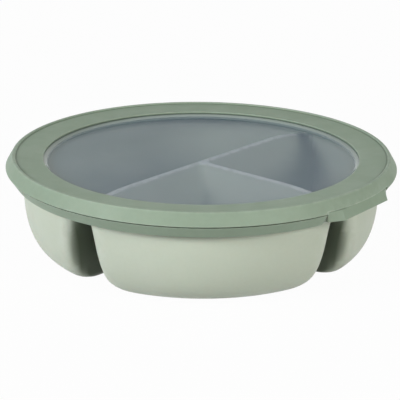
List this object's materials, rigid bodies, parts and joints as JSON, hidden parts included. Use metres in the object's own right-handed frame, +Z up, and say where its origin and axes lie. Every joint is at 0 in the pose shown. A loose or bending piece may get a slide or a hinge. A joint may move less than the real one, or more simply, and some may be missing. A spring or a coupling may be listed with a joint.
{
  "type": "lunch bowl",
  "caption": "Round lunch bowl with compartments kept apart by hollow dividers, and a press-on lid with a clear window and a flared pull tab",
  "frame": {"origin": "on the bowl's axis, in the plane that the bowl's feet stand on", "axes": "+Z up through the lid, +X to the right and +Y to the back, with the pull tab at the front right"},
  "size_m": [0.207, 0.207, 0.0535],
  "materials": {
    "bowl": "pale sage moulded plastic with a satin sheen",
    "lid": "sage moulded plastic, softer and darker than the bowl",
    "window": "clear plastic with a faint smoky blue tint",
    "seal": "soft matt sealing rubber"
  },
  "bodies": {
    "bowl": {"bowl": "bowl"},
    "lid": {"lid_frame": "lid", "lid_window": "window", "lid_seal": "seal"},
    "tab": {"pull_tab": "lid"}
  },
  "joints": [
    {"name": "lid_lift", "type": "slide", "parent": "bowl", "child": "lid", "axis": [0, 0, 1], "range_m": [0, 0.08]},
    {"name": "tab_flex", "type": "hinge", "parent": "lid", "child": "tab", "pos_m": [0.08037, -0.06189, 0.0478], "axis": [-0.6101, -0.7923, 0], "range_deg": [0, 60], "stiffness_Nm_per_rad": 0.02}
  ]
}
